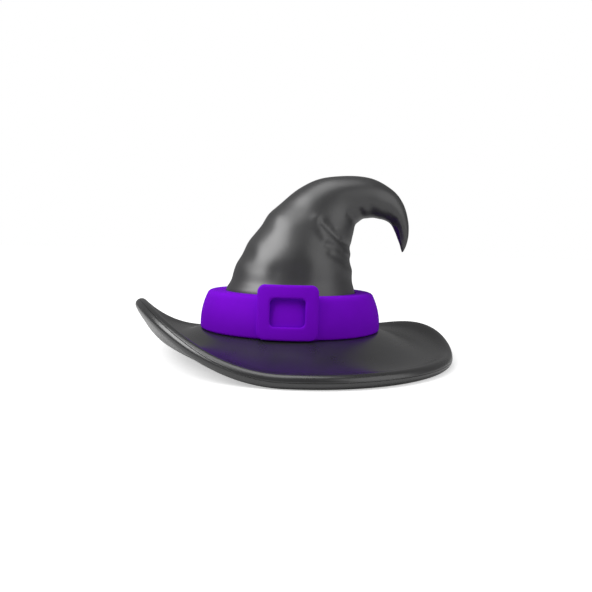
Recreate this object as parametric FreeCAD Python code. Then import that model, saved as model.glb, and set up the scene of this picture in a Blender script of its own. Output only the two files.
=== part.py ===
import FreeCAD, Part
import math
import os

# A wearable witch hat in moulded foam: a swept brim of two plies over an edge wire, a hollow
# crown whose hooked tip bends on an armature wire, and a thick band with a square buckle.
# All sizes are in millimetres, and all angles in degrees.
# Frame: the origin is the centre of the head opening, in the plane of the brim's underside
# there. +Z is up, the buckle faces -Y, and the crown's tip hooks over towards +X.

# Fits
GLUE_LINE = 0.3            # what the adhesive fills between two glued pieces
WIRE_CLEARANCE = 0.3       # round a wire in its groove or bore

# Head opening and the crown's collar round it
HEAD_RADIUS = 92.0         # inside the sweatband: a head of 58 cm
SWEATBAND_WALL = 1.8
SWEATBAND_HEIGHT = 25.0
CROWN_WALL = 4.0

# Brim. Its upper face falls away from the band, and then curls up to the rim
BRIM_THICKNESS = 11.0
BRIM_LEVEL_WIDTH = 5.6     # the brim is level as far out from its hole as this
BRIM_DIP = 36.6            # how steeply it falls from there
BRIM_DIP_EASE = 0.1        # how gently the fall starts, as a share of the way to the rim
BRIM_CURL = 3.1            # how late the rim curls up, as a power
RIM_RADIUS = 194.3
RIM_DROP = 19.4            # of the rim at the front and the back, below the level part
BRIM_SECTIONS = 60         # places round the brim that its surface passes through
RADIAL_SPANS = 14          # and spans from the hole to the rim at each

# The flaps that are swept up, and the stretch of rim that is drawn in by the larger one:
# the way each faces, how far it spreads to each side, and how much it rises or draws in
HIGH_FLAP = {"facing": 198.2, "spread": 71.3, "amount": 68.7}
LOW_FLAP = {"facing": 24.6, "spread": 44.8, "amount": 22.7}
DRAWN_IN = {"facing": 205.7, "spread": 99.0, "amount": 16.9}

# Edge wire and its ferrule, in the middle of the rounded rim
EDGE_WIRE_RADIUS = 1.2
EDGE_WIRE_GAP = 2.0        # between the wire's two ends
FERRULE_WALL = 0.8
FERRULE_LENGTH = 12.0
FERRULE_FACING = 90.0      # the back of the hat

# Collar, shoulder and crown
COLLAR_RISE = 18.0         # of the collar, above the brim
SHOULDER_RISE = 20.0       # of the shoulder, above the collar
SHOULDER_LEDGE = 0.5       # on each side of the crown's wall where it stands on the shoulder
CROWN_BASE_RADIUS = 79.0
CROWN_BASE_HEIGHT = BRIM_THICKNESS + COLLAR_RISE + SHOULDER_RISE
# The crown's two outlines, seen from the front, as (X, Z) places from the shoulder to the tip:
# the outer one over its back and the inner one under its hook. Each pair of places is a station,
# where the crown is a circle that spans from one outline to the other
CROWN_OUTLINES = [
    ((-CROWN_BASE_RADIUS, CROWN_BASE_HEIGHT), (CROWN_BASE_RADIUS, CROWN_BASE_HEIGHT)),
    ((-76.5, 57.5), (76.0, 57.5)),
    ((-72.5, 67.0), (74.0, 67.5)),
    ((-68.0, 80.0), (72.5, 79.5)),
    ((-61.5, 96.5), (71.8, 92.5)),
    ((-49.5, 116.5), (71.5, 104.5)),
    ((-34.5, 139.0), (72.0, 115.0)),
    ((-15.5, 160.5), (73.5, 125.0)),
    ((7.5, 180.0), (76.5, 134.5)),
    ((34.5, 192.0), (82.5, 141.5)),
    ((64.5, 195.7), (92.5, 145.0)),
    ((94.5, 193.3), (104.5, 145.5)),
    ((119.0, 180.7), (113.5, 143.5)),
    ((133.0, 164.5), (119.5, 138.0)),
    ((140.0, 145.5), (123.8, 130.5)),
    ((141.5, 128.5), (127.5, 121.5)),
    ((139.5, 116.0), (131.5, 112.5)),
    ((136.2, 107.5), (134.0, 106.0)),
]
ROOT_START = 5             # the station where the forms of the plug and the wire start
CROOK_START = 8            # where the soft crook starts
HOOK_START = 10            # where the hook starts
WIRE_END = 14              # where the armature wire ends
CORE_END = 15              # where the hook's foam core ends
CROWN_SECTIONS_EACH = 2    # sections from one station to the next
POINTS_ROUND_CROWN = 24
HOOK_WALL = 3.0

# Armature wire and the plug that holds its root
ARMATURE_RADIUS = 1.5
PLUG_THICKNESS = 20.0
PLUG_SETBACK = 2.0         # below the crown's upper end
ARMATURE_TAIL = 6.0        # of wire below the plug

# Hoop round the collar
HOOP_WALL = 1.0
HOOP_HEIGHT = 16.0
HOOP_LIFT = 2.0            # above the brim

# Band, whose outer face is a barrel
BAND_HEIGHT = 45.0
BAND_THICKNESS = 8.8       # at its widest, near the foot
BAND_BELLY = 6.0           # height of the widest place above the band's foot
BAND_BARREL_RADIUS = 82.0  # of the barrel's arc, seen from the side
BAND_TOP_ROUND = 5.0
BAND_FOOT_ROUND = 2.0

# Buckle: a square frame with a window, curved round the band, and the pins that hold it
BUCKLE_WIDTH = 65.0
BUCKLE_HEIGHT = 57.5
BUCKLE_BORDER = 14.0
BUCKLE_CORNER = 7.5
BUCKLE_WINDOW_CORNER = 5.0
BUCKLE_PROUD = 4.5         # of the band, at the foot
BUCKLE_LEAN = 6.5          # how far its top leans in
BUCKLE_THICKNESS = 7.5
PIN_RADIUS = 2.0
PIN_HEIGHT = 10.5          # above the band's foot
PIN_ENGAGEMENT = 3.0       # of the pin in the frame
PIN_FIT = 0.05             # round a pin in its hole
PIN_HEAD_RADIUS = 4.0
PIN_HEAD_THICKNESS = 1.2

V = FreeCAD.Vector
ORIGIN = V(0, 0, 0)
UP = V(0, 0, 1)
SIDEWAYS = V(0, 1, 0)      # square to the plane that the crown bends in
REACH = 500.0              # larger than the hat, for cutting tools

collar_inner = HEAD_RADIUS + SWEATBAND_WALL + GLUE_LINE
collar_outer = collar_inner + CROWN_WALL
brim_hole_radius = collar_outer + GLUE_LINE
brim_level_radius = brim_hole_radius + BRIM_LEVEL_WIDTH
collar_top = BRIM_THICKNESS + COLLAR_RISE
band_foot = BRIM_THICKNESS + GLUE_LINE
band_top = band_foot + BAND_HEIGHT
hoop_foot = BRIM_THICKNESS + HOOP_LIFT
hoop_top = hoop_foot + HOOP_HEIGHT
hoop_inner = collar_outer + GLUE_LINE
hoop_outer = hoop_inner + HOOP_WALL
band_recess = hoop_outer + GLUE_LINE
band_radius = band_recess + BAND_THICKNESS
shoulder_radius = CROWN_BASE_RADIUS + SHOULDER_LEDGE
shoulder_lean = math.atan2(collar_outer - shoulder_radius, CROWN_BASE_HEIGHT - collar_top)


def upright(radius, height):
    """A point of a turned piece's outline."""
    return V(radius, 0, height)


def smooth_curve(points):
    """A curve through a row of points, whose parameter counts them."""
    curve = Part.BSplineCurve()
    curve.interpolate(Points=points, Parameters=[float(i) for i in range(len(points))])
    return curve


def straight_edges(points):
    """Straight edges through a row of points."""
    return [Part.makeLine(a, b) for a, b in zip(points, points[1:])]


def turned(edges):
    """A solid turned once round the Z axis from a closed outline."""
    return Part.Face(Part.Wire(edges)).revolve(ORIGIN, UP, 360)


def turned_polygon(outline):
    """The same, from an outline of (radius, height) corners with straight edges."""
    corners = [upright(radius, height) for radius, height in outline]
    return turned(straight_edges(corners + corners[:1]))


def tube(inner, outer, foot, top):
    """An upright round tube."""
    outside = Part.makeCylinder(outer, top - foot, V(0, 0, foot))
    return outside.cut(Part.makeCylinder(inner, top - foot, V(0, 0, foot)))


def fillet_circle(solid, radius, height, fillet):
    """The same solid with its circular edge about the Z axis at that radius and height rounded."""
    chosen = []
    for edge in solid.Edges:
        point = edge.Vertexes[0].Point
        is_level = abs(edge.BoundBox.ZLength) < 0.01
        if is_level and abs(point.z - height) < 0.01 and abs(math.hypot(point.x, point.y) - radius) < 0.01:
            chosen.append(edge)
    return solid.makeFillet(fillet, chosen)


# --- Brim ---------------------------------------------------------------------------------

def swell(angle, place):
    """How much a place of the brim rises or draws in, fading out over its spread."""
    away = (angle - place["facing"] + 180.0) % 360.0 - 180.0
    if abs(away) >= place["spread"]:
        return 0.0
    return place["amount"] * math.cos(math.radians(90.0 * away / place["spread"])) ** 2


def rim_radius(angle):
    return RIM_RADIUS - swell(angle, DRAWN_IN)


def rim_rise(angle):
    return swell(angle, HIGH_FLAP) + swell(angle, LOW_FLAP) - RIM_DROP


def dip(share):
    """The brim's fall, eased in, from 0 at its level part to 1 at the rim."""
    ease = BRIM_DIP_EASE
    return (math.hypot(share, ease) - ease) / (math.hypot(1.0, ease) - ease)


def brim_height(radius, angle):
    """Height of the brim's upper face."""
    share = max(0.0, (radius - brim_level_radius) / (rim_radius(angle) - brim_level_radius))
    curl = (rim_rise(angle) + BRIM_DIP) * share ** BRIM_CURL
    return BRIM_THICKNESS - BRIM_DIP * dip(share) + curl


def brim_point(radius, angle, depth, reach=0.0):
    """A point below the upper face, along its normal, and then outwards along the face."""
    step = 0.5
    rise = brim_height(radius + step, angle) - brim_height(radius - step, angle)
    slope = math.atan2(rise, 2 * step)
    out = radius + depth * math.sin(slope) + reach * math.cos(slope)
    height = brim_height(radius, angle) - depth * math.cos(slope) + reach * math.sin(slope)
    turn = math.radians(angle)
    return V(out * math.cos(turn), out * math.sin(turn), height)


def rim_middle(angle):
    """Radius at which the rim's rounding is centred."""
    return rim_radius(angle) - BRIM_THICKNESS / 2


def radial_curve(angle, depth, start, end):
    """A smooth edge from the hole's radius towards the rim, or back, at one depth."""
    radii = [start + (end - start) * i / RADIAL_SPANS for i in range(RADIAL_SPANS + 1)]
    return smooth_curve([brim_point(radius, angle, depth) for radius in radii]).toShape()


def rim_arc(angle, start, end, arc_radius):
    """An arc about the rim's middle, between two angles above the brim's outward direction."""
    points = []
    for turn in (start, (start + end) / 2, end):
        depth = BRIM_THICKNESS / 2 - arc_radius * math.sin(math.radians(turn))
        reach = arc_radius * math.cos(math.radians(turn))
        points.append(brim_point(rim_middle(angle), angle, depth, reach))
    return Part.Arc(*points).toShape()


def ply_section(angle, side):
    """One ply's outline on the radial plane at an angle, with its half of the wire's groove.
    The side is 1 for the upper ply and -1 for the lower one."""
    groove = EDGE_WIRE_RADIUS + WIRE_CLEARANCE
    face_depth = BRIM_THICKNESS * (1 - side) / 2
    joint_depth = (BRIM_THICKNESS - side * GLUE_LINE) / 2
    joint_at_rim = side * math.degrees(math.asin(GLUE_LINE / BRIM_THICKNESS))
    joint_at_groove = side * math.degrees(math.asin(GLUE_LINE / 2 / groove))
    face = radial_curve(angle, face_depth, brim_hole_radius, rim_middle(angle))
    rim = rim_arc(angle, side * 90, joint_at_rim, BRIM_THICKNESS / 2)
    channel = rim_arc(angle, joint_at_groove, side * 180 - joint_at_groove, groove)
    joint = radial_curve(angle, joint_depth, rim_middle(angle) - 2 * groove, brim_hole_radius)
    land = Part.makeLine(rim.lastVertex(True).Point, channel.firstVertex(True).Point)
    inner_land = Part.makeLine(channel.lastVertex(True).Point, joint.firstVertex(True).Point)
    bore = Part.makeLine(joint.lastVertex(True).Point, face.firstVertex(True).Point)
    return Part.Wire([face, rim, land, channel, inner_land, joint, bore])


def ferrule_axis():
    """The ferrule's middle, and the way that the edge wire runs there."""
    middle = brim_point(rim_middle(FERRULE_FACING), FERRULE_FACING, BRIM_THICKNESS / 2)
    turn = math.radians(FERRULE_FACING)
    return middle, V(-math.sin(turn), math.cos(turn), 0)


def ferrule_cylinder(radius, length):
    middle, along = ferrule_axis()
    return Part.makeCylinder(radius, length, middle - along * (length / 2), along)


ferrule_bore = EDGE_WIRE_RADIUS + WIRE_CLEARANCE
ferrule_outer = ferrule_bore + FERRULE_WALL


def make_brim_ply(side):
    sections = [ply_section(360.0 * i / BRIM_SECTIONS, side) for i in range(BRIM_SECTIONS)]
    ply = Part.makeLoft(sections, True, False, True)
    pocket = ferrule_cylinder(ferrule_outer + WIRE_CLEARANCE, FERRULE_LENGTH + 2 * WIRE_CLEARANCE)
    return ply.cut(pocket)


def make_brim_edge_wire():
    """One length of wire, bent round the rim from one end in the ferrule to the other."""
    half_gap = math.degrees(EDGE_WIRE_GAP / 2 / rim_middle(FERRULE_FACING))
    first = FERRULE_FACING + half_gap
    step = (360.0 - 2 * half_gap) / BRIM_SECTIONS
    sections = []
    for i in range(BRIM_SECTIONS + 1):
        angle = first + i * step
        middle = brim_point(rim_middle(angle), angle, BRIM_THICKNESS / 2)
        ahead = brim_point(rim_middle(angle + 0.5), angle + 0.5, BRIM_THICKNESS / 2)
        behind = brim_point(rim_middle(angle - 0.5), angle - 0.5, BRIM_THICKNESS / 2)
        sections.append(Part.Wire(Part.makeCircle(EDGE_WIRE_RADIUS, middle, ahead - behind)))
    return Part.makeLoft(sections, True)


def make_brim_wire_ferrule():
    sleeve = ferrule_cylinder(ferrule_outer, FERRULE_LENGTH)
    return sleeve.cut(ferrule_cylinder(ferrule_bore, FERRULE_LENGTH))


# --- Crown --------------------------------------------------------------------------------

outer_outline = smooth_curve([upright(x, z) for (x, z), inner in CROWN_OUTLINES])
inner_outline = smooth_curve([upright(x, z) for outer, (x, z) in CROWN_OUTLINES])
tip_station = len(CROWN_OUTLINES) - 1


def crown_radius(station):
    return (outer_outline.value(station) - inner_outline.value(station)).Length / 2


def crown_frame(station, offset=0.0):
    """A placement at the crown's middle at a station, with Z towards the tip, or moved along it."""
    outer, inner = outer_outline.value(station), inner_outline.value(station)
    lean = math.degrees(math.atan2(outer.z - inner.z, inner.x - outer.x))
    turn = FreeCAD.Rotation(SIDEWAYS, lean)
    return FreeCAD.Placement((outer + inner) / 2 + turn.multVec(UP) * offset, turn)


def form_along_crown(radius_from_outside, start, end):
    """A round solid between two stations, from a rule that turns the crown's radius into its own."""
    rings = []
    for i in range((end - start) * CROWN_SECTIONS_EACH + 1):
        station = start + i / CROWN_SECTIONS_EACH
        frame = crown_frame(station)
        radius = radius_from_outside(crown_radius(station))
        turns = [2 * math.pi * k / POINTS_ROUND_CROWN for k in range(POINTS_ROUND_CROWN + 1)]
        rings.append([frame.multVec(V(math.cos(t), math.sin(t), 0) * radius) for t in turns])
    side = Part.BSplineSurface()
    side.interpolate(rings)
    first, last, _, _ = side.bounds()
    ends = [Part.Face(Part.Wire(side.uIso(place).toShape())) for place in (first, last)]
    shell = Part.makeShell([side.toShape()] + ends)
    shell.sewShape()
    solid = Part.makeSolid(shell)
    if solid.Volume < 0:
        solid.reverse()
    return solid


def crown_inset(inset, start=0, end=tip_station):
    """The crown's outer form between two stations, made smaller all round by the inset."""
    return form_along_crown(lambda radius: radius - inset, start, end)


def beyond(station, offset=0.0):
    """Everything past the crown's section at a station."""
    block = Part.makeBox(2 * REACH, 2 * REACH, 2 * REACH, V(-REACH, -REACH, 0))
    return block.transformed(crown_frame(station, offset).Matrix)


def make_collar_and_shoulder():
    """The turned foot of the crown, which the brim and the band hide."""
    drop = CROWN_WALL * math.tan(shoulder_lean / 2)
    inside_radius = CROWN_BASE_RADIUS - CROWN_WALL - SHOULDER_LEDGE
    return turned_polygon([
        (collar_inner, 0),
        (collar_outer, 0),
        (collar_outer, collar_top),
        (shoulder_radius, CROWN_BASE_HEIGHT),
        (inside_radius, CROWN_BASE_HEIGHT),
        (inside_radius, CROWN_BASE_HEIGHT - drop),
        (collar_inner, collar_top - drop),
    ])


def crown_shell(wall, start, end):
    return crown_inset(0, start, end).cut(crown_inset(wall, start, end))


def make_crown_cone():
    return crown_shell(CROWN_WALL, 0, CROOK_START).fuse(make_collar_and_shoulder())


def make_crown_crook():
    return crown_shell(CROWN_WALL, CROOK_START, HOOK_START)


def make_crown_hook():
    solid_hook = crown_inset(0, HOOK_START).common(beyond(HOOK_START, GLUE_LINE))
    return solid_hook.cut(crown_inset(HOOK_WALL, HOOK_START, CORE_END))


def armature(radius, start, end):
    return form_along_crown(lambda outside: radius, start, end)


def make_hook_core():
    core = crown_inset(HOOK_WALL + GLUE_LINE, HOOK_START, CORE_END)
    core = core.common(beyond(HOOK_START, GLUE_LINE))
    return core.cut(armature(ARMATURE_RADIUS + WIRE_CLEARANCE, HOOK_START, WIRE_END))


def make_crown_plug():
    plug = crown_inset(CROWN_WALL + GLUE_LINE, ROOT_START, CROOK_START)
    plug = plug.common(beyond(CROOK_START, -PLUG_SETBACK - PLUG_THICKNESS))
    plug = plug.cut(beyond(CROOK_START, -PLUG_SETBACK))
    return plug.cut(armature(ARMATURE_RADIUS + WIRE_CLEARANCE, ROOT_START, CROOK_START))


def make_armature_root():
    tail = PLUG_SETBACK + PLUG_THICKNESS + ARMATURE_TAIL
    wire = armature(ARMATURE_RADIUS, ROOT_START, CROOK_START)
    return wire.common(beyond(CROOK_START, -tail))


def make_armature_bend():
    return armature(ARMATURE_RADIUS, CROOK_START, HOOK_START)


def make_armature_tip():
    return armature(ARMATURE_RADIUS, HOOK_START, WIRE_END).common(beyond(HOOK_START, GLUE_LINE))


# --- Inside the head opening, and round the collar --------------------------------------------

def make_sweatband():
    return tube(HEAD_RADIUS, HEAD_RADIUS + SWEATBAND_WALL, 0, SWEATBAND_HEIGHT)


def make_collar_hoop():
    return tube(hoop_inner, hoop_outer, hoop_foot, hoop_top)


# --- Band and buckle ----------------------------------------------------------------------

def barrel_radius(height, proud=0.0):
    """Radius of the band's outer face at a height above the band's foot."""
    away = height - BAND_BELLY
    middle = band_radius - BAND_BARREL_RADIUS
    return middle + math.sqrt((BAND_BARREL_RADIUS + proud) ** 2 - away ** 2)


def barrel_edge(foot, top, proud=0.0):
    """The barrel's arc between two heights above the band's foot."""
    points = [
        upright(barrel_radius(height, proud), band_foot + height)
        for height in (foot, (foot + top) / 2, top)
    ]
    return Part.Arc(*points).toShape()


def make_band_blank():
    """The band before it is pierced: a barrel outside, with the hoop, shoulder and crown inside."""
    lip = shoulder_radius + GLUE_LINE
    glue_width = GLUE_LINE / math.cos(shoulder_lean)
    lip_foot = collar_top + (collar_outer + glue_width - lip) / math.tan(shoulder_lean)
    step = hoop_top + GLUE_LINE
    step_radius = collar_outer + glue_width - (step - collar_top) * math.tan(shoulder_lean)
    outside = barrel_edge(0, BAND_HEIGHT)
    inside = [
        outside.lastVertex(True).Point,
        upright(lip, band_top),
        upright(lip, lip_foot),
        upright(step_radius, step),
        upright(band_recess, step),
        upright(band_recess, band_foot),
        outside.firstVertex(True).Point,
    ]
    blank = turned([outside] + straight_edges(inside))
    blank = fillet_circle(blank, barrel_radius(BAND_HEIGHT), band_top, BAND_TOP_ROUND)
    return fillet_circle(blank, barrel_radius(0), band_foot, BAND_FOOT_ROUND)


def radial_cylinder(radius, start, end, angle, height):
    """A cylinder that points straight away from the Z axis."""
    turn = math.radians(angle)
    outward = V(math.cos(turn), math.sin(turn), 0)
    return Part.makeCylinder(radius, end - start, outward * start + UP * height, outward)


pin_height = band_foot + PIN_HEIGHT
pin_spread = math.degrees(math.asin((BUCKLE_WIDTH - BUCKLE_BORDER) / 2 / band_radius))
pin_angles = (270.0 - pin_spread, 270.0 + pin_spread)
pin_head_start = band_recess + GLUE_LINE
pin_head_end = pin_head_start + PIN_HEAD_THICKNESS
pin_end = band_radius + PIN_ENGAGEMENT - GLUE_LINE


def make_hat_band():
    band = make_band_blank()
    for angle in pin_angles:
        hole = radial_cylinder(PIN_RADIUS + PIN_FIT, HEAD_RADIUS, pin_end, angle, pin_height)
        seat_end = pin_head_end + PIN_FIT
        seat = radial_cylinder(PIN_HEAD_RADIUS + GLUE_LINE, HEAD_RADIUS, seat_end, angle, pin_height)
        band = band.cut(hole.fuse(seat))
    return band


def make_buckle_pins():
    pins = []
    for angle in pin_angles:
        shank = radial_cylinder(PIN_RADIUS, pin_head_start, pin_end, angle, pin_height)
        head = radial_cylinder(PIN_HEAD_RADIUS, pin_head_start, pin_head_end, angle, pin_height)
        pins.append(shank.fuse(head))
    return Part.makeCompound(pins)


def rounded_block(width, foot, top, corner):
    """A block that runs forward from the Z axis, with its four long edges rounded."""
    block = Part.makeBox(width, REACH, top - foot, V(-width / 2, -REACH, foot))
    long_edges = [edge for edge in block.Edges if edge.BoundBox.YLength > REACH / 2]
    return block.makeFillet(corner, long_edges)


def buckle_ring(inset):
    """The form that the buckle's front is cut from: a ring that leans in towards its top."""
    foot_radius = band_radius + BUCKLE_PROUD - inset
    top_radius = foot_radius - BUCKLE_LEAN
    foot, top = band_foot, band_foot + BUCKLE_HEIGHT
    middle = upright(foot_radius - BUCKLE_LEAN / 4, (foot + top) / 2)
    front = Part.Arc(upright(foot_radius, foot), middle, upright(top_radius, top)).toShape()
    back = [upright(top_radius, top), upright(0, top), upright(0, foot), upright(foot_radius, foot)]
    return turned([front] + straight_edges(back))


def band_allowance():
    """The band's barrel with the glue line added, filled to the axis."""
    outside = barrel_edge(-GLUE_LINE, BAND_HEIGHT + GLUE_LINE, GLUE_LINE)
    top, foot = outside.lastVertex(True).Point, outside.firstVertex(True).Point
    return turned([outside] + straight_edges([top, V(0, 0, top.z), V(0, 0, foot.z), foot]))


def make_buckle_frame():
    foot, top = band_foot, band_foot + BUCKLE_HEIGHT
    inner_foot, inner_top = foot + BUCKLE_BORDER, top - BUCKLE_BORDER
    outside = rounded_block(BUCKLE_WIDTH, foot, top, BUCKLE_CORNER)
    window = rounded_block(
        BUCKLE_WIDTH - 2 * BUCKLE_BORDER, inner_foot, inner_top, BUCKLE_WINDOW_CORNER
    )
    shell = buckle_ring(0).cut(buckle_ring(BUCKLE_THICKNESS)).cut(band_allowance())
    frame = shell.common(outside.cut(window))
    for angle in pin_angles:
        hole_end = pin_end + PIN_FIT
        frame = frame.cut(
            radial_cylinder(PIN_RADIUS + PIN_FIT, HEAD_RADIUS, hole_end, angle, pin_height)
        )
    return frame


sub_parts = {
    "brim_upper_ply": make_brim_ply(1),
    "brim_lower_ply": make_brim_ply(-1),
    "brim_edge_wire": make_brim_edge_wire(),
    "brim_wire_ferrule": make_brim_wire_ferrule(),
    "crown_cone": make_crown_cone(),
    "crown_plug": make_crown_plug(),
    "crown_crook": make_crown_crook(),
    "crown_hook": make_crown_hook(),
    "hook_core": make_hook_core(),
    "armature_root": make_armature_root(),
    "armature_bend": make_armature_bend(),
    "armature_tip": make_armature_tip(),
    "sweatband": make_sweatband(),
    "collar_hoop": make_collar_hoop(),
    "hat_band": make_hat_band(),
    "buckle_frame": make_buckle_frame(),
    "buckle_pins": make_buckle_pins(),
}

os.makedirs("parts", exist_ok=True)
for name, shape in sub_parts.items():
    shape.exportStep("parts/" + name + ".step")
    print(name, "solids", len(shape.Solids), "valid", shape.isValid(), "volume", round(shape.Volume))
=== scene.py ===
import math

import bmesh
import bpy
import numpy as np
from mathutils import Matrix, Vector, noise


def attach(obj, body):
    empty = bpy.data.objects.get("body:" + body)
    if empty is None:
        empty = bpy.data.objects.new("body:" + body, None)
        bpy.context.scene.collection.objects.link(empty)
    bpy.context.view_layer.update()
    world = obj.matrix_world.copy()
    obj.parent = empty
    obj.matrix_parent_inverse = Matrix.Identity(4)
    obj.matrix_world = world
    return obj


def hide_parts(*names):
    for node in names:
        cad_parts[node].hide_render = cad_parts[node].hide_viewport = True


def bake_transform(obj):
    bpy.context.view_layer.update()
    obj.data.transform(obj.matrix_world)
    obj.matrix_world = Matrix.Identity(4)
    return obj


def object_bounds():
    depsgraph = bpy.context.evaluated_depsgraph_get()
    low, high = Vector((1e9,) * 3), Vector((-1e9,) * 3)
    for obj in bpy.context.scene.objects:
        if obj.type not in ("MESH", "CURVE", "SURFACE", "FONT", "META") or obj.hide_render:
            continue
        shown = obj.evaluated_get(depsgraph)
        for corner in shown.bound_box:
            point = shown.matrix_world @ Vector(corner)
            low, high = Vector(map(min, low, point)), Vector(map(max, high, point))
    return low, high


# A wearable witch hat in charcoal foam, with a purple band and buckle. Lengths are in metres,
# except in the lists whose names end in MM. The origin is the middle of the head opening, +Z is
# up, the buckle faces -Y and the crown's tip hooks over towards +X.

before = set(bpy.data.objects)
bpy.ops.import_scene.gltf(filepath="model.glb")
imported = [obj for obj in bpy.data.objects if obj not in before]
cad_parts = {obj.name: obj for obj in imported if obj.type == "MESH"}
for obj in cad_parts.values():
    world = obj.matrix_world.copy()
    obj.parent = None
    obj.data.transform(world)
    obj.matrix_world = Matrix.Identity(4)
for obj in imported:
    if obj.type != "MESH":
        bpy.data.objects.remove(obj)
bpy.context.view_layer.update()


# --- Brim: two plies of charcoal foam -----------------------------------------------------
# A wide ring, 11 mm thick, which falls away from the band and curls up to a rounded rim. It is
# swept up high at one side and a little at the other. The plies' glued joint shows as a fine
# line round the middle of the rim.

BRIM_THICKNESS = 0.011
BRIM_HOLE_RADIUS = 0.0984
BRIM_LEVEL_RADIUS = 0.104
BRIM_DIP = 0.0366
BRIM_DIP_EASE = 0.1
BRIM_CURL = 3.1
RIM_RADIUS = 0.1943
RIM_DROP = 0.0194
HIGH_FLAP = {"facing": 198.2, "spread": 71.3, "amount": 0.0687}
LOW_FLAP = {"facing": 24.6, "spread": 44.8, "amount": 0.0227}
DRAWN_IN = {"facing": 205.7, "spread": 99.0, "amount": 0.0169}
HOLE_ROUND = 0.0004            # rounding of the edge of the brim's hole
BRIM_ANGLES = 300
BRIM_FACE_STEPS = 36
RIM_STEPS = 16
HALF_JOINT = 0.00005           # half of the glued joint's width
RIM_BEAD = 0.0015              # how much the rim is thicker than the brim, on each side
RIM_BEAD_START = 0.88          # share of the way out where the brim starts to thicken
JOINT_LIP = 0.0004             # rounding of each ply beside the joint
JOINT_DEPTH = 0.0005           # how far in from the rim the plies meet


def swell(angle, place):
    """How much a place of the brim rises or draws in, fading out over its spread."""
    away = (angle - place["facing"] + 180.0) % 360.0 - 180.0
    rise = place["amount"] * np.cos(np.radians(90.0 * away / place["spread"])) ** 2
    return np.where(np.abs(away) < place["spread"], rise, 0.0)


def brim_height(radius, angle):
    """Height of the brim's upper face."""
    rim_rise = swell(angle, HIGH_FLAP) + swell(angle, LOW_FLAP) - RIM_DROP
    reach = RIM_RADIUS - swell(angle, DRAWN_IN) - BRIM_LEVEL_RADIUS
    share = np.maximum(0.0, (radius - BRIM_LEVEL_RADIUS) / reach)
    dip = np.hypot(share, BRIM_DIP_EASE) - BRIM_DIP_EASE
    dip /= math.hypot(1.0, BRIM_DIP_EASE) - BRIM_DIP_EASE
    return BRIM_THICKNESS - BRIM_DIP * dip + (rim_rise + BRIM_DIP) * share ** BRIM_CURL


def brim_point(radius, angle, depth, reach):
    """A point below the upper face, along its normal, and then outwards along the face."""
    step = 0.0005
    rise = brim_height(radius + step, angle) - brim_height(radius - step, angle)
    slope = np.arctan2(rise, 2 * step)
    out = radius + depth * np.sin(slope) + reach * np.cos(slope)
    height = brim_height(radius, angle) - depth * np.cos(slope) + reach * np.sin(slope)
    turn = np.radians(angle)
    return np.stack([out * np.cos(turn), out * np.sin(turn), height], axis=-1)


def fade(value, start, end):
    """0 before start, 1 after end, and smooth between."""
    share = np.clip((value - start) / (end - start), 0.0, 1.0)
    return share * share * (3 - 2 * share)


def brim_outline(side):
    """One ply's section, as (share of the way from the hole to the rim's middle, depth, reach).
    The side is 1 for the upper ply and -1 for the lower one."""
    half = BRIM_THICKNESS / 2
    face = half - side * half
    joint = half - side * HALF_JOINT
    shares = np.linspace(0.0, 1.0, BRIM_FACE_STEPS)
    outline = [
        (0.0, joint, 0.0),
        (0.0, face + side * 4 * HOLE_ROUND, 0.0),
        (0.0, face + side * HOLE_ROUND, HOLE_ROUND),
    ]
    for share in shares[1:]:
        outline.append((share, face - side * RIM_BEAD * fade(share, RIM_BEAD_START, 1.0), 0.0))
    rounding = half + RIM_BEAD
    last = math.degrees(math.asin((HALF_JOINT + JOINT_LIP) / rounding))
    for turn in np.radians(np.linspace(90.0, last, RIM_STEPS)[1:]):
        outline.append((1.0, half - side * rounding * math.sin(turn), rounding * math.cos(turn)))
    outline.append((1.0, joint - side * JOINT_LIP * 0.35, rounding - 0.2 * JOINT_DEPTH))
    outline.append((1.0, joint, rounding - JOINT_DEPTH))
    outline += [(share, joint, 0.0) for share in shares[::-3]]
    return outline


def skin(name, rings, looped):
    """A smooth mesh through rings of points, each joined to the next. If it is looped, the last ring
    joins the first; otherwise a face closes each end."""
    rows, count = rings.shape[:2]
    mesh = bpy.data.meshes.new(name)
    faces = []
    for i in range(rows if looped else rows - 1):
        here, ahead = i * count, (i + 1) % rows * count
        for k in range(count):
            beside = (k + 1) % count
            faces.append((here + k, here + beside, ahead + beside, ahead + k))
    if not looped:
        faces.append(tuple(range(count)))
        faces.append(tuple(range((rows - 1) * count, rows * count)))
    mesh.from_pydata(rings.reshape(-1, 3).tolist(), [], faces)
    built = bmesh.new()
    built.from_mesh(mesh)
    bmesh.ops.recalc_face_normals(built, faces=built.faces)
    built.to_mesh(mesh)
    built.free()
    mesh.polygons.foreach_set("use_smooth", [True] * len(mesh.polygons))
    made = bpy.data.objects.new(name, mesh)
    bpy.context.scene.collection.objects.link(made)
    return made


def brim_ply(name, side):
    outline = brim_outline(side)
    angles = np.arange(BRIM_ANGLES) * 360.0 / BRIM_ANGLES
    rows = []
    for share, depth, reach in outline:
        middle = RIM_RADIUS - swell(angles, DRAWN_IN) - BRIM_THICKNESS / 2 - RIM_BEAD
        radius = BRIM_HOLE_RADIUS + share * (middle - BRIM_HOLE_RADIUS)
        rows.append(brim_point(radius, angles, depth, reach))
    return skin(name, np.array(rows), True)


def add_node(tree, kind, inputs=None, **settings):
    """A shader node with its settings and inputs, each a value or the socket that feeds it."""
    made = tree.nodes.new(kind)
    for name, value in settings.items():
        setattr(made, name, value)
    for name, value in (inputs or {}).items():
        if isinstance(value, bpy.types.NodeSocket):
            tree.links.new(value, made.inputs[name])
        else:
            made.inputs[name].default_value = value
    return made


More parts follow.
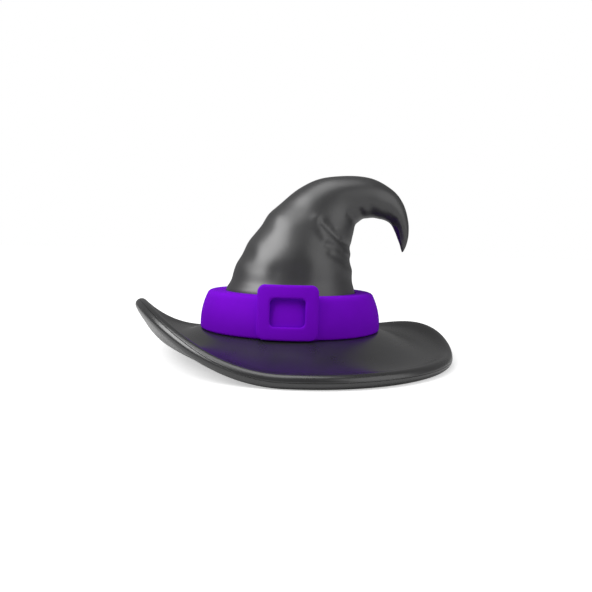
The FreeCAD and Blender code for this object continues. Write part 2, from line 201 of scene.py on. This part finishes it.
def new_group(name, colours, values, results):
    """A node group with these colour inputs, value inputs and results. The first result is a colour."""
    tree = bpy.data.node_groups.new(name, "ShaderNodeTree")
    for label in colours:
        tree.interface.new_socket(label, in_out="INPUT", socket_type="NodeSocketColor")
    for label in values:
        tree.interface.new_socket(label, in_out="INPUT", socket_type="NodeSocketFloat")
    for label in results:
        kind = "NodeSocketColor" if label == results[0] else "NodeSocketFloat"
        tree.interface.new_socket(label, in_out="OUTPUT", socket_type=kind)
    return tree, tree.nodes.new("NodeGroupInput").outputs


def put_out(tree, results):
    """Links the sockets that a group's results come from."""
    end = tree.nodes.new("NodeGroupOutput")
    for label, source in results.items():
        tree.links.new(source, end.inputs[label])
    return tree


def object_place(tree):
    return tree.nodes.new("ShaderNodeTexCoord").outputs["Object"]


def worked_out(tree, operation, *terms):
    """What a Math node makes of these values or sockets."""
    return add_node(tree, "ShaderNodeMath", dict(enumerate(terms)), operation=operation).outputs[0]


def mixed_colour(tree, share, first, second):
    """A colour that turns from the first to the second as the share rises."""
    mix = add_node(tree, "ShaderNodeMix", {"Factor": share}, data_type="RGBA")
    tree.links.new(first, mix.inputs["A"])
    tree.links.new(second, mix.inputs["B"])
    return mix.outputs["Result"]


def soft_cloud(tree, place, scale, high, detail):
    """A noise stretched so that its usual range runs from 0 to high."""
    settings = {"Vector": place, "Scale": scale, "Detail": detail}
    cloud = add_node(tree, "ShaderNodeTexNoise", settings).outputs["Fac"]
    ranges = {"Value": cloud, "From Min": 0.3, "From Max": 0.7, "To Max": high}
    stretched = add_node(tree, "ShaderNodeMapRange", ranges, interpolation_type="SMOOTHSTEP")
    return stretched.outputs["Result"]


def make_skin_group():
    """The moulded skin of foam or plastic: cloudy colour, uneven gloss and a fine grain."""
    tree, given = new_group(
        "moulded_skin",
        ("Colour", "Cloud Colour"),
        ("Cloud Scale", "Grain Scale", "Roughness", "Roughness Spread"),
        ("Colour", "Roughness", "Height"),
    )
    place = object_place(tree)
    cloud = soft_cloud(tree, place, given["Cloud Scale"], 1.0, 5.0)
    spread = worked_out(tree, "MULTIPLY", cloud, given["Roughness Spread"])
    return put_out(tree, {
        "Colour": mixed_colour(tree, cloud, given["Colour"], given["Cloud Colour"]),
        "Roughness": worked_out(tree, "ADD", given["Roughness"], spread),
        "Height": soft_cloud(tree, place, given["Grain Scale"], 1.0, 2.0),
    })


skin_group = make_skin_group()


def surface(name, group, values, shader_values=None, bump=0.1, bump_distance=0.0002):
    """A material whose colour and relief, and its gloss where the group gives one, come from a group
    with these values. The shader's own values are the same all over the surface."""
    material = bpy.data.materials.new(name)
    material.use_nodes = True
    tree = material.node_tree
    shader = tree.nodes["Principled BSDF"]
    for label, value in (shader_values or {}).items():
        shader.inputs[label].default_value = value
    pattern = add_node(tree, "ShaderNodeGroup", node_tree=group)
    for label, value in values.items():
        pattern.inputs[label].default_value = value
    tree.links.new(pattern.outputs["Colour"], shader.inputs["Base Color"])
    if "Roughness" in pattern.outputs:
        tree.links.new(pattern.outputs["Roughness"], shader.inputs["Roughness"])
    relief = {"Height": pattern.outputs["Height"], "Strength": bump, "Distance": bump_distance}
    bumped = add_node(tree, "ShaderNodeBump", relief)
    tree.links.new(bumped.outputs["Normal"], shader.inputs["Normal"])
    return material


brim_charcoal = surface("brim_charcoal_foam", skin_group, {
    "Colour": (0.014, 0.014, 0.015, 1.0),
    "Cloud Colour": (0.018, 0.018, 0.019, 1.0),
    "Cloud Scale": 26.0,
    "Grain Scale": 900.0,
    "Roughness": 0.27,
    "Roughness Spread": 0.02,
}, {"Specular IOR Level": 0.9}, bump=0.012)


def dress(piece, material):
    """Gives a piece one material."""
    piece.data.materials.clear()
    piece.data.materials.append(material)
    return piece


for ply_name, ply_side in (("upper", 1), ("lower", -1)):
    ply = dress(brim_ply("brim_" + ply_name, ply_side), brim_charcoal)
    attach(ply, "hat")
    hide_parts("brim_" + ply_name + "_ply")


# --- Brim's edge wire and ferrule ---------------------------------------------------------
# A steel wire in a groove between the plies, all round the rim. A short aluminium sleeve, crimped
# on at the back of the hat, joins its two ends. Both are sealed inside the foam.

def make_drawn_group():
    """Drawn metal: fine scratches along X, and a faint tarnish."""
    tree, given = new_group(
        "drawn_metal", ("Colour", "Tarnish"), ("Roughness",), ("Colour", "Roughness", "Height")
    )
    place = object_place(tree)
    drawn_out = {"Vector": place, "Scale": (60.0, 1500.0, 1500.0)}
    stretched = add_node(tree, "ShaderNodeMapping", drawn_out).outputs["Vector"]
    scratches = soft_cloud(tree, stretched, 1.0, 1.0, 3.0)
    tarnish = soft_cloud(tree, place, 90.0, 0.6, 3.0)
    return put_out(tree, {
        "Colour": mixed_colour(tree, tarnish, given["Colour"], given["Tarnish"]),
        "Roughness": worked_out(tree, "MULTIPLY_ADD", scratches, 0.12, given["Roughness"]),
        "Height": scratches,
    })


drawn_group = make_drawn_group()
steel = surface("spring_wire", drawn_group, {
    "Colour": (0.55, 0.56, 0.57, 1.0),
    "Tarnish": (0.42, 0.41, 0.39, 1.0),
    "Roughness": 0.3,
}, {"Metallic": 1.0}, bump=0.15, bump_distance=0.00005)
aluminium = surface("crimped_aluminium", drawn_group, {
    "Colour": (0.75, 0.75, 0.76, 1.0),
    "Tarnish": (0.62, 0.62, 0.62, 1.0),
    "Roughness": 0.38,
}, {"Metallic": 1.0}, bump=0.15, bump_distance=0.00005)


def finish_cad_node(name, material):
    """Gives a CAD node that keeps its own shape a material."""
    dress(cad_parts[name], material)


finish_cad_node("brim_edge_wire", steel)
finish_cad_node("brim_wire_ferrule", aluminium)


# --- Crown's skin: collar, cone, crook and hook -------------------------------------------
# One hollow skin of charcoal foam, 4 mm thick, moulded from the collar that the band hides up
# to the hooked tip. It is creased where it bends over, with a dent at the front and folds under
# the arch. The hollow under the hook's end is painted dark purple, a painted reflection of the purple
# band.

CROWN_OUTLINES_MM = [
    ((-79.0, 49.0), (79.0, 49.0)),
    ((-78.0, 57.5), (77.4, 58.0)),
    ((-72.6, 67.0), (74.4, 68.5)),
    ((-68.2, 80.0), (73.2, 80.0)),
    ((-61.5, 96.5), (71.8, 92.5)),
    ((-49.5, 116.5), (71.5, 104.5)),
    ((-34.5, 139.0), (72.0, 115.0)),
    ((-15.5, 160.5), (73.5, 125.0)),
    ((7.5, 180.0), (76.5, 134.5)),
    ((34.5, 192.0), (82.5, 141.5)),
    ((64.5, 195.7), (92.5, 145.0)),
    ((94.5, 193.3), (104.5, 145.5)),
    ((119.0, 180.7), (113.5, 143.5)),
    ((133.0, 164.5), (119.5, 138.0)),
    ((140.0, 145.5), (123.8, 130.5)),
    ((141.5, 128.5), (127.5, 121.5)),
    ((139.5, 116.0), (131.5, 112.5)),
    ((136.2, 107.5), (134.0, 106.0)),
]
HOOK_START = 10.0              # the station where the hook's solid core starts
CORE_END = 15.0
PLUG_START = 5.9               # stations between which the plug fills the crown
PLUG_END = 8.0
STATION_STEPS = 10
CROWN_COLUMNS = 176
CROWN_WAVE = 0.0005            # how uneven the foam is
CROWN_WAVES_A_METRE = 38.0
FOLD_WRAP = 0.016              # how quickly a fold deepens away from the crown's middle plane
FOLD_AT_SIDE = 0.35            # share of its depth in that plane
CROWN_WALL = 0.004
HOOK_WALL = 0.003
SCOOP_START = 13.0             # stations of the painted purple reflection in the hollow of the hook's inner side
SCOOP_END = 16.4
SCOOP_COLUMNS = 24             # its reach to each side, at its widest
# The hidden foot, outside and inside, as (radius, height)
FOOT_OUTSIDE_MM = [(97.3, 0.0), (98.1, 0.8), (98.1, 28.4), (97.6, 29.5), (80.2, 48.3), (79.4, 48.8)]
FOOT_INSIDE_MM = [(74.6, 48.6), (74.5, 47.4), (93.6, 28.0), (94.1, 26.8), (94.1, 0.8), (94.9, 0.0)]

# Folds and bulges: a path through (X, Z) places seen from the front, how wide, how far out
# (in if negative), and on which side: -1 the front, 1 the back, 0 both
FOLDS_MM = [
    ([(12, 150), (20, 142), (26, 128)], 13.0, -1.5, -1),
    ([(27, 142), (31, 133), (38, 119)], 5.5, 1.3, -1),
    ([(36, 138), (47, 128), (62, 115), (73, 109)], 4.2, -1.6, -1),
    ([(36, 138), (47, 128), (62, 115)], 9.0, -1.2, -1),
    ([(50, 130), (58, 119)], 2.6, 1.0, -1),
    ([(41, 113), (48, 110.5), (56, 107), (66, 101), (75, 97)], 4.2, -1.5, -1),
    ([(34, 116), (42, 106)], 9.0, -1.0, -1),
    ([(46, 103), (53, 99), (62, 93.5), (75, 89)], 4.4, -1.3, -1),
    ([(62, 104), (72, 100)], 3.2, 1.0, 0),
    ([(0, 163), (26, 158), (56, 154)], 17.0, -1.7, -1),
    ([(-14, 80), (-6, 79), (4, 78)], 12.0, -2.0, -1),
    ([(15, 101), (24, 95)], 16.0, 1.8, -1),
    ([(62, 87), (72, 84)], 7.0, 1.2, 0),
    ([(79, 136), (68, 147)], 5.0, -1.6, 0),
    ([(87, 142), (79, 152)], 5.0, -1.6, 0),
    ([(97, 145), (91, 158)], 6.0, -1.0, 0),
    ([(-69, 84), (-58, 86)], 10.0, 1.2, 0),
    ([(-60, 97), (-50, 100)], 8.0, -0.8, 0),
    ([(-52, 114), (-42, 112)], 10.0, 1.2, 0),
    ([(-38, 134), (-28, 132)], 8.0, -0.7, 0),
    ([(-28, 148), (-18, 144)], 9.0, 1.0, 0),
    ([(20, 150), (40, 131), (60, 116), (73, 109)], 4.5, -2.4, 1),
    ([(26, 122), (46, 109), (66, 100), (75, 97)], 4.2, -2.2, 1),
    ([(46, 136), (58, 122)], 5.0, 1.4, 1),
    ([(6, 88), (20, 84)], 14.0, -3.6, 1),
    ([(121, 142), (127, 133), (131, 122), (134, 112)], 4.5, -1.8, 0),
]


def between(values, places):
    """Values at fractional places along a smooth curve through a row of them."""
    i = np.clip(places.astype(int), 0, len(values) - 2)
    t = (places - i)[:, None]
    before, start = values[np.maximum(i - 1, 0)], values[i]
    end, after = values[i + 1], values[np.minimum(i + 2, len(values) - 1)]
    bend = 2 * before - 5 * start + 4 * end - after + t * (3 * (start - end) + after - before)
    return start + 0.5 * t * (end - before + t * bend)


def crown_rings(stations, inset):
    """Circles that span from the crown's outer outline to its inner one, at these stations."""
    outlines = np.array(CROWN_OUTLINES_MM) * 0.001
    outer, inner = between(outlines[:, 0], stations), between(outlines[:, 1], stations)
    middle, arm = (outer + inner) / 2, (inner - outer) / 2
    arm *= 1.0 - (inset / np.linalg.norm(arm, axis=1))[:, None]
    turns = np.arange(CROWN_COLUMNS) * 2 * math.pi / CROWN_COLUMNS
    x = middle[:, :1] + arm[:, :1] * np.cos(turns)
    z = middle[:, 1:] + arm[:, 1:] * np.cos(turns)
    y = np.linalg.norm(arm, axis=1)[:, None] * np.sin(turns)
    return np.stack([x, y, z], axis=-1)


def foot_rings(outline_mm):
    turns = np.arange(CROWN_COLUMNS) * 2 * math.pi / CROWN_COLUMNS
    rings = []
    for radius, height in outline_mm:
        rings.append(np.stack([
            radius * 0.001 * np.cos(turns),
            radius * 0.001 * np.sin(turns),
            np.full(CROWN_COLUMNS, height * 0.001),
        ], axis=-1))
    return np.array(rings)


def path_distance(points, path):
    """How far (X, Z) points are from a path, in the front view."""
    nearest = np.full(points.shape[:-1], np.inf)
    for start, end in zip(path, path[1:]):
        along = end - start
        share = np.clip(((points - start) @ along) / (along @ along), 0.0, 1.0)
        away = np.linalg.norm(points - start - share[..., None] * along, axis=-1)
        nearest = np.minimum(nearest, away)
    return nearest


def fold_relief(rings):
    """How far out each point of the crown is moved by its folds and by the foam's unevenness."""
    relief = np.zeros(rings.shape[:2])
    seen = rings[..., [0, 2]]
    for path, width, amount, side in FOLDS_MM:
        away = path_distance(seen, np.array(path, float) * 0.001)
        shape = amount * 0.001 * np.exp(-(away / (width * 0.001)) ** 2)
        if side:
            shape *= np.clip(FOLD_AT_SIDE + side * rings[..., 1] / FOLD_WRAP, 0.0, 1.0)
        relief += shape
    for place in np.ndindex(relief.shape):
        relief[place] += CROWN_WAVE * noise.noise(Vector(rings[place]) * CROWN_WAVES_A_METRE)
    return relief


def outward(rings):
    """Unit normals of a skin of rings, away from the rings' middles."""
    along = np.gradient(rings, axis=0)
    around = np.roll(rings, -1, axis=1) - np.roll(rings, 1, axis=1)
    normal = np.cross(around, along)
    normal /= np.linalg.norm(normal, axis=-1, keepdims=True) + 1e-12
    away = rings - rings.mean(axis=1, keepdims=True)
    flip = np.sign((normal * away).sum(axis=-1, keepdims=True))
    return normal * flip


def make_crown_skin():
    """The skin, from the end of its hollow down to the foot and up again outside to the tip. Its
    inside follows the folds only where nothing fills it."""
    last = len(CROWN_OUTLINES_MM) - 1.0
    stations = np.linspace(0.0, last, int(last) * STATION_STEPS + 1)
    outside = crown_rings(stations, 0.0)
    relief = fold_relief(outside)
    settle = fade(stations, 0.0, 1.2) * (1.0 - fade(stations, last - 2.0, last - 0.5))
    normal = outward(outside)
    outside = outside + normal * (relief * settle[:, None])[..., None]
    tip_middle = outside[-1].mean(axis=0)
    tip_step = tip_middle - outside[-2].mean(axis=0)
    tip = np.array([tip_middle + (outside[-1] - tip_middle) * 0.6 + tip_step * 0.3])

    core_rows = stations <= CORE_END
    inside_stations = stations[core_rows]
    wall = CROWN_WALL + (HOOK_WALL - CROWN_WALL) * fade(inside_stations, HOOK_START - 1.0, HOOK_START)
    inside = crown_rings(inside_stations, wall)
    below_plug = 1.0 - fade(inside_stations, PLUG_START - 0.8, PLUG_START)
    above_plug = fade(inside_stations, PLUG_END, PLUG_END + 0.5)
    below_core = 1.0 - fade(inside_stations, HOOK_START - 0.7, HOOK_START - 0.1)
    hollow = (below_plug + above_plug) * below_core
    inside_relief = relief[core_rows] * (settle[core_rows] * hollow)[:, None]
    inside = inside + normal[core_rows] * inside_relief[..., None]
    foot = [foot_rings(FOOT_INSIDE_MM), foot_rings(FOOT_OUTSIDE_MM)]
    made = skin("crown_skin", np.concatenate([inside[::-1], *foot, outside, tip]), False)
    dress(made, crown_charcoal)
    # The second material paints the hollow under the hook's end dark purple: a painted reflection of the
    # purple band.
    made.data.materials.append(painted_band_reflection)
    first_row = len(inside) + len(FOOT_INSIDE_MM) + len(FOOT_OUTSIDE_MM)
    for row in range(int(SCOOP_START * STATION_STEPS), int(SCOOP_END * STATION_STEPS)):
        share = (row / STATION_STEPS - SCOOP_START) / (SCOOP_END - SCOOP_START)
        spread = int(SCOOP_COLUMNS * math.sin(math.pi * share ** 0.8) ** 0.7)
        for column in range(-spread, spread):
            face = (first_row + row) * CROWN_COLUMNS + column % CROWN_COLUMNS
            made.data.polygons[face].material_index = 1
    return made


crown_charcoal = surface("crown_charcoal_foam", skin_group, {
    "Colour": (0.015, 0.015, 0.016, 1.0),
    "Cloud Colour": (0.02, 0.02, 0.021, 1.0),
    "Cloud Scale": 24.0,
    "Grain Scale": 900.0,
    "Roughness": 0.38,
    "Roughness Spread": 0.04,
}, {"Specular IOR Level": 1.0}, bump=0.02)
# Painted reflection: a dark purple colour that stands in for the purple band reflected in the hollow
# under the hook's end.
painted_band_reflection = surface("hook_painted_band_reflection", skin_group, {
    "Colour": (0.022, 0.003, 0.07, 1.0),
    "Cloud Colour": (0.028, 0.004, 0.085, 1.0),
    "Cloud Scale": 60.0,
    "Grain Scale": 900.0,
    "Roughness": 0.5,
    "Roughness Spread": 0.06,
}, {"Specular IOR Level": 0.25})
crown_skin = make_crown_skin()
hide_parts("crown_cone", "crown_crook", "crown_hook")
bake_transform(crown_skin)


# --- Inside the crown: plug, core and armature wire ---------------------------------------
# A grey foam plug fills the crown's upper end and holds the root of a soft aluminium wire. The
# wire crosses the hollow crook and ends in the foam core of the hook, so the tip stays where
# it is bent.

def make_cell_group():
    """Cut open-cell foam: paler walls round sunken pores, with painted shade that darkens the pores."""
    tree, given = new_group("open_cells", ("Colour", "Painted Pore Shade"), (), ("Colour", "Height"))
    cells = {"Vector": object_place(tree), "Scale": 700.0}
    edge = add_node(tree, "ShaderNodeTexVoronoi", cells, feature="DISTANCE_TO_EDGE")
    ranges = {"Value": edge.outputs["Distance"], "From Min": 0.02, "From Max": 0.25}
    pore = add_node(tree, "ShaderNodeMapRange", ranges).outputs["Result"]
    return put_out(tree, {
        # The pores are painted darker where they sink: painted shade.
        "Colour": mixed_colour(tree, pore, given["Colour"], given["Painted Pore Shade"]),
        "Height": worked_out(tree, "SUBTRACT", 1.0, pore),
    })


core_foam = surface("core_foam", make_cell_group(), {
    "Colour": (0.3, 0.3, 0.31, 1.0),
    "Painted Pore Shade": (0.12, 0.12, 0.125, 1.0),
}, {"Roughness": 0.9}, bump=0.6)

for core_node in ("crown_plug", "hook_core"):
    finish_cad_node(core_node, core_foam)
for wire_node in ("armature_root", "armature_tip"):
    finish_cad_node(wire_node, aluminium)

ARMATURE_RADIUS = 0.0015
ARMATURE_COLUMNS = 24


def make_armature_bend():
    """The wire's length between the plug's station and the hook's."""
    stations = np.linspace(PLUG_END, HOOK_START, 41)
    rings = crown_rings(stations, 0.0)
    middle = rings.mean(axis=1, keepdims=True)
    spokes = rings[:, ::CROWN_COLUMNS // ARMATURE_COLUMNS] - middle
    spokes /= np.linalg.norm(spokes, axis=-1, keepdims=True)
    return skin("armature_bend_wire", middle + ARMATURE_RADIUS * spokes, False)


bend_wire = dress(make_armature_bend(), aluminium)
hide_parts("armature_bend")
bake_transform(bend_wire)


# --- Sweatband and hoop round the collar --------------------------------------------------
# A black woven band lines the head opening, and a thin black plastic hoop stiffens the collar
# from outside, where the purple band hides it.

SWEATBAND_MIDDLE_RADIUS = 0.0929


def make_weave_group():
    """A plain weave round a ring about Z: threads along it and up it, painted lighter where they stand
    high and darker between them, as painted highlight and shade.
    """
    tree, given = new_group(
        "ring_weave", ("Colour", "Painted Crown Highlight"), ("Threads",), ("Colour", "Height")
    )
    place = add_node(tree, "ShaderNodeSeparateXYZ", {"Vector": object_place(tree)}).outputs
    turn = worked_out(tree, "ARCTAN2", place["Y"], place["X"])
    waves = []
    for length in (worked_out(tree, "MULTIPLY", turn, SWEATBAND_MIDDLE_RADIUS), place["Z"]):
        phase = worked_out(tree, "MULTIPLY", length, given["Threads"])
        waves.append(worked_out(tree, "SINE", phase))
    crossed = worked_out(tree, "MULTIPLY", *waves)
    level = worked_out(tree, "MULTIPLY_ADD", crossed, 0.5, 0.5)
    return put_out(tree, {
        # The colour follows the weave's height: painted highlight on the raised threads, painted shade
        # between them.
        "Colour": mixed_colour(tree, level, given["Colour"], given["Painted Crown Highlight"]),
        "Height": level,
    })


cloth = surface("sweatband_cloth", make_weave_group(), {
    "Colour": (0.012, 0.012, 0.013, 1.0),
    "Painted Crown Highlight": (0.045, 0.045, 0.05, 1.0),
    "Threads": 5200.0,
}, {"Roughness": 0.85}, bump=0.5)
black_plastic = surface("black_plastic", skin_group, {
    "Colour": (0.018, 0.018, 0.018, 1.0),
    "Cloud Colour": (0.024, 0.024, 0.025, 1.0),
    "Cloud Scale": 60.0,
    "Grain Scale": 1500.0,
    "Roughness": 0.45,
    "Roughness Spread": 0.08,
})
finish_cad_node("sweatband", cloth)
finish_cad_node("collar_hoop", black_plastic)


# --- Band ---------------------------------------------------------------------------------
# A thick ring of purple foam with a matte skin and a barrel's outer face. It leans in towards
# its top, and its edges are softly rounded.

BAND_FOOT = 0.0113
BAND_HEIGHT = 0.045
BAND_RADIUS = 0.1085
BAND_BELLY = 0.006
BAND_BARREL_RADIUS = 0.082
BAND_TOP_ROUND = 0.0052
BAND_FOOT_ROUND = 0.0024
BAND_LIP_RADIUS = 0.0786       # of its top, where it meets the crown
BAND_STEP_RADIUS = 0.0798      # where the shoulder starts inside it
COLLAR_SEAT_RADIUS = 0.0978
HOOP_SEAT_RADIUS = 0.0997
BAND_WAVE = 0.0006             # how uneven the foam is
BAND_COLUMNS = 288


def barrel_radius(height):
    """Radius of the band's outer face at a height above its foot."""
    bulge = np.sqrt(BAND_BARREL_RADIUS ** 2 - (height - BAND_BELLY) ** 2)
    return BAND_RADIUS - BAND_BARREL_RADIUS + bulge


def rounded_path(corners, steps=8):
    """A closed outline with rounded corners, each given as (x, y, rounding)."""
    points = []
    count = len(corners)
    for i, (x, y, rounding) in enumerate(corners):
        here = np.array([x, y])
        to_last = np.array(corners[i - 1][:2]) - here
        to_next = np.array(corners[(i + 1) % count][:2]) - here
        start = here + to_last / np.linalg.norm(to_last) * rounding
        end = here + to_next / np.linalg.norm(to_next) * rounding
        for t in np.linspace(0.0, 1.0, steps):
            points.append((1 - t) ** 2 * start + 2 * t * (1 - t) * here + t * t * end)
    return np.array(points)


def make_hat_band():
    heights = np.linspace(BAND_FOOT_ROUND + 0.002, BAND_HEIGHT - BAND_TOP_ROUND - 0.002, 13)
    corners = [(barrel_radius(h), BAND_FOOT + h, 0.0011) for h in heights]
    corners.insert(0, (barrel_radius(0.0), BAND_FOOT, BAND_FOOT_ROUND))
    corners.append((barrel_radius(BAND_HEIGHT), BAND_FOOT + BAND_HEIGHT, BAND_TOP_ROUND))
    corners += [
        (BAND_LIP_RADIUS, BAND_FOOT + BAND_HEIGHT - 0.0006, 0.0008),
        (BAND_STEP_RADIUS, 0.0492, 0.0006),
        (COLLAR_SEAT_RADIUS, 0.0299, 0.0006),
        (HOOP_SEAT_RADIUS, 0.0293, 0.0004),
        (HOOP_SEAT_RADIUS, BAND_FOOT, 0.0008),
    ]
    turns = np.arange(BAND_COLUMNS) * 2 * math.pi / BAND_COLUMNS
    units = np.column_stack([np.cos(turns), np.sin(turns)])
    rings = []
    for radius, height in rounded_path(corners, 5):
        reach = np.full(BAND_COLUMNS, radius)
        if radius > HOOP_SEAT_RADIUS + BAND_WAVE:
            spots = [Vector((x * 2.1, y * 2.1, height * 30.0)) for x, y in units]
            reach += BAND_WAVE * np.array([noise.noise(spot) for spot in spots])
        rings.append(np.column_stack([units * reach[:, None], np.full(BAND_COLUMNS, height)]))
    return skin("band", np.array(rings), True)


purple = surface("purple_foam", skin_group, {
    "Colour": (0.168, 0.0028, 0.56, 1.0),
    "Cloud Colour": (0.18, 0.003, 0.59, 1.0),
    "Cloud Scale": 30.0,
    "Grain Scale": 1000.0,
    "Roughness": 0.7,
    "Roughness Spread": 0.08,
}, {"Specular IOR Level": 0.03})
band = dress(make_hat_band(), purple)
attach(band, "hat")
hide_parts("hat_band")


# --- Buckle and its pins ------------------------------------------------------------------
# A square purple frame with a rounded window, curved to the band and softly pillowed at every
# edge. It stands above the band's top. Two plastic pins go through the band into its foot.

BUCKLE_WIDTH = 0.065
BUCKLE_HEIGHT = 0.0575
BUCKLE_BORDER = 0.014
BUCKLE_CORNER = 0.0078
BUCKLE_WINDOW_CORNER = 0.0052
BUCKLE_FOOT_RADIUS = 0.1128    # of its front face, about the hat's axis
BUCKLE_GAP = 0.0001            # between it and the band
BUCKLE_LEAN = 0.0065
BUCKLE_THICKNESS = 0.0075
BUCKLE_ROUND = 0.0026          # of its edges
BUCKLE_BACK_ROUND = 0.0008
BUCKLE_PILLOW = 0.0004         # how far the middle of its border stands out
BUCKLE_PILLOW_ROUND = 0.003
BUCKLE_LEAN_POWER = 1.3
BUCKLE_TURN = -0.9             # degrees round the hat
BUCKLE_CORNER_STEPS = 12
BUCKLE_SIDE_STEPS = 14


def rounded_rectangle(half_width, half_height, corner):
    """A closed row of points round a rectangle with rounded corners, the same count for any size."""
    arcs = []
    for quarter, (across, up) in enumerate(((1, 1), (-1, 1), (-1, -1), (1, -1))):
        middle = np.array([across * (half_width - corner), up * (half_height - corner)])
        turns = np.radians(np.linspace(0.0, 90.0, BUCKLE_CORNER_STEPS) + 90.0 * quarter)
        arcs.append(middle + corner * np.column_stack([np.cos(turns), np.sin(turns)]))
    points = []
    for arc, following in zip(arcs, arcs[1:] + arcs[:1]):
        points += [arc, np.linspace(arc[-1], following[0], BUCKLE_SIDE_STEPS)[1:-1]]
    return np.concatenate(points)


def make_buckle():
    outer = rounded_rectangle(BUCKLE_WIDTH / 2, BUCKLE_HEIGHT / 2, BUCKLE_CORNER)
    window = rounded_rectangle(
        BUCKLE_WIDTH / 2 - BUCKLE_BORDER, BUCKLE_HEIGHT / 2 - BUCKLE_BORDER, BUCKLE_WINDOW_CORNER
    )
    section = rounded_path([
        (0.0, 0.0, BUCKLE_BACK_ROUND),
        (0.0, BUCKLE_THICKNESS, BUCKLE_ROUND),
        (BUCKLE_BORDER / 2, BUCKLE_THICKNESS + BUCKLE_PILLOW, BUCKLE_PILLOW_ROUND),
        (BUCKLE_BORDER, BUCKLE_THICKNESS, BUCKLE_ROUND),
        (BUCKLE_BORDER, 0.0, BUCKLE_BACK_ROUND),
    ])
    rings = []
    for across, rise in section:
        flat = outer + (window - outer) * (across / BUCKLE_BORDER)
        height = flat[:, 1] + BUCKLE_HEIGHT / 2
        lean = BUCKLE_LEAN * (height / BUCKLE_HEIGHT) ** BUCKLE_LEAN_POWER
        front = BUCKLE_FOOT_RADIUS - lean
        on_band = barrel_radius(np.minimum(height, BAND_HEIGHT)) + BUCKLE_GAP
        clear = np.where(height < BAND_HEIGHT, on_band, 0.0)
        back = np.maximum(front - BUCKLE_THICKNESS, clear)
        radius = back + (front - back) * rise / BUCKLE_THICKNESS
        y = -np.sqrt(radius ** 2 - flat[:, 0] ** 2)
        rings.append(np.column_stack([flat[:, 0], y, BAND_FOOT + height]))
    return skin("buckle", np.array(rings), True)


buckle = dress(make_buckle(), purple)
buckle.data.transform(Matrix.Rotation(math.radians(BUCKLE_TURN), 4, "Z"))
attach(buckle, "hat")
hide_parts("buckle_frame")

purple_plastic = surface("purple_plastic", skin_group, {
    "Colour": (0.16, 0.003, 0.45, 1.0),
    "Cloud Colour": (0.18, 0.004, 0.5, 1.0),
    "Cloud Scale": 80.0,
    "Grain Scale": 1500.0,
    "Roughness": 0.4,
    "Roughness Spread": 0.06,
})
finish_cad_node("buckle_pins", purple_plastic)


# --- Floor, lamps, sky and camera ---------------------------------------------------------
# The hat stands on a plain white floor in soft studio light: a large softbox high at the
# front left, a broad one overhead and a weak one at the right.

FLOOR_GAP = 0.0002             # between the floor and the hat's lowest point
CAMERA_PLACE = (0.0067, -0.702, 0.107)
CAMERA_PITCH = 85.3            # degrees up from straight down
CAMERA_ROLL = 1.5
CAMERA_LENS_MM = 34.97


def make_floor():
    """A floor that glows a little where the camera sees it, more so away from the hat, and that is
    clear from below."""
    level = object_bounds()[0].z - FLOOR_GAP
    bpy.ops.mesh.primitive_plane_add(size=30.0, location=(0.0, 0.0, level))
    floor = bpy.context.object
    floor.name = "floor"
    material = bpy.data.materials.new("floor_white")
    material.use_nodes = True
    tree = material.node_tree
    tree.nodes.clear()
    matte = add_node(tree, "ShaderNodeBsdfDiffuse", {"Color": (0.8, 0.8, 0.8, 1.0)})
    away = add_node(tree, "ShaderNodeVectorMath", {0: object_place(tree)}, operation="LENGTH")
    ranges = {"Value": away.outputs["Value"]}
    ranges.update({"From Min": 0.3, "From Max": 1.6, "To Min": 0.5, "To Max": 0.85})
    growing = add_node(tree, "ShaderNodeMapRange", ranges).outputs["Result"]
    glow = add_node(tree, "ShaderNodeEmission", {"Strength": growing})
    lit = add_node(tree, "ShaderNodeAddShader", {0: matte.outputs[0], 1: glow.outputs[0]})
    clear = tree.nodes.new("ShaderNodeBsdfTransparent")
    below = tree.nodes.new("ShaderNodeNewGeometry").outputs["Backfacing"]
    one_sided = add_node(tree, "ShaderNodeMixShader", {0: below, 1: lit.outputs[0], 2: clear.outputs[0]})
    eye = tree.nodes.new("ShaderNodeLightPath").outputs["Is Camera Ray"]
    seen = add_node(tree, "ShaderNodeMixShader", {0: eye, 1: matte.outputs[0], 2: one_sided.outputs[0]})
    tree.links.new(seen.outputs[0], tree.nodes.new("ShaderNodeOutputMaterial").inputs["Surface"])
    floor.data.materials.append(material)


def softbox(name, place, size, power):
    """A square area lamp that faces the hat."""
    lamp = bpy.data.lights.new(name, "AREA")
    lamp.shape = "SQUARE"
    lamp.size = size
    lamp.energy = power
    holder = bpy.data.objects.new(name, lamp)
    bpy.context.scene.collection.objects.link(holder)
    holder.location = place
    towards_hat = Vector((0.0, 0.0, 0.08)) - Vector(place)
    holder.rotation_euler = towards_hat.to_track_quat("-Z", "Y").to_euler()


def make_sky():
    """White where the camera sees it, and a plain grey as light."""
    world = bpy.data.worlds.new("studio")
    bpy.context.scene.world = world
    world.use_nodes = True
    tree = world.node_tree
    seen = tree.nodes.new("ShaderNodeLightPath").outputs["Is Camera Ray"]
    level = add_node(tree, "ShaderNodeMapRange", {"Value": seen, "To Min": 0.24, "To Max": 1.0})
    tree.links.new(level.outputs["Result"], tree.nodes["Background"].inputs["Strength"])
    tree.nodes["Background"].inputs["Color"].default_value = (1.0, 1.0, 1.0, 1.0)


make_floor()
softbox("key", (-1.15, -0.4, 1.1), 1.1, 22.0)
softbox("overhead", (-0.15, -0.1, 1.35), 0.9, 6.0)
softbox("fill", (1.2, -0.7, 0.7), 1.4, 7.0)
make_sky()

camera_data = bpy.data.cameras.new("camera")
camera_data.lens = CAMERA_LENS_MM
camera_data.sensor_width = 36.0
camera = bpy.data.objects.new("camera", camera_data)
bpy.context.scene.collection.objects.link(camera)
pitch = Matrix.Rotation(math.radians(CAMERA_PITCH), 4, "X")
roll = Matrix.Rotation(math.radians(CAMERA_ROLL), 4, "Z")
camera.matrix_world = Matrix.Translation(CAMERA_PLACE) @ pitch @ roll
bpy.context.scene.camera = camera
bpy.context.scene.view_settings.view_transform = "Standard"
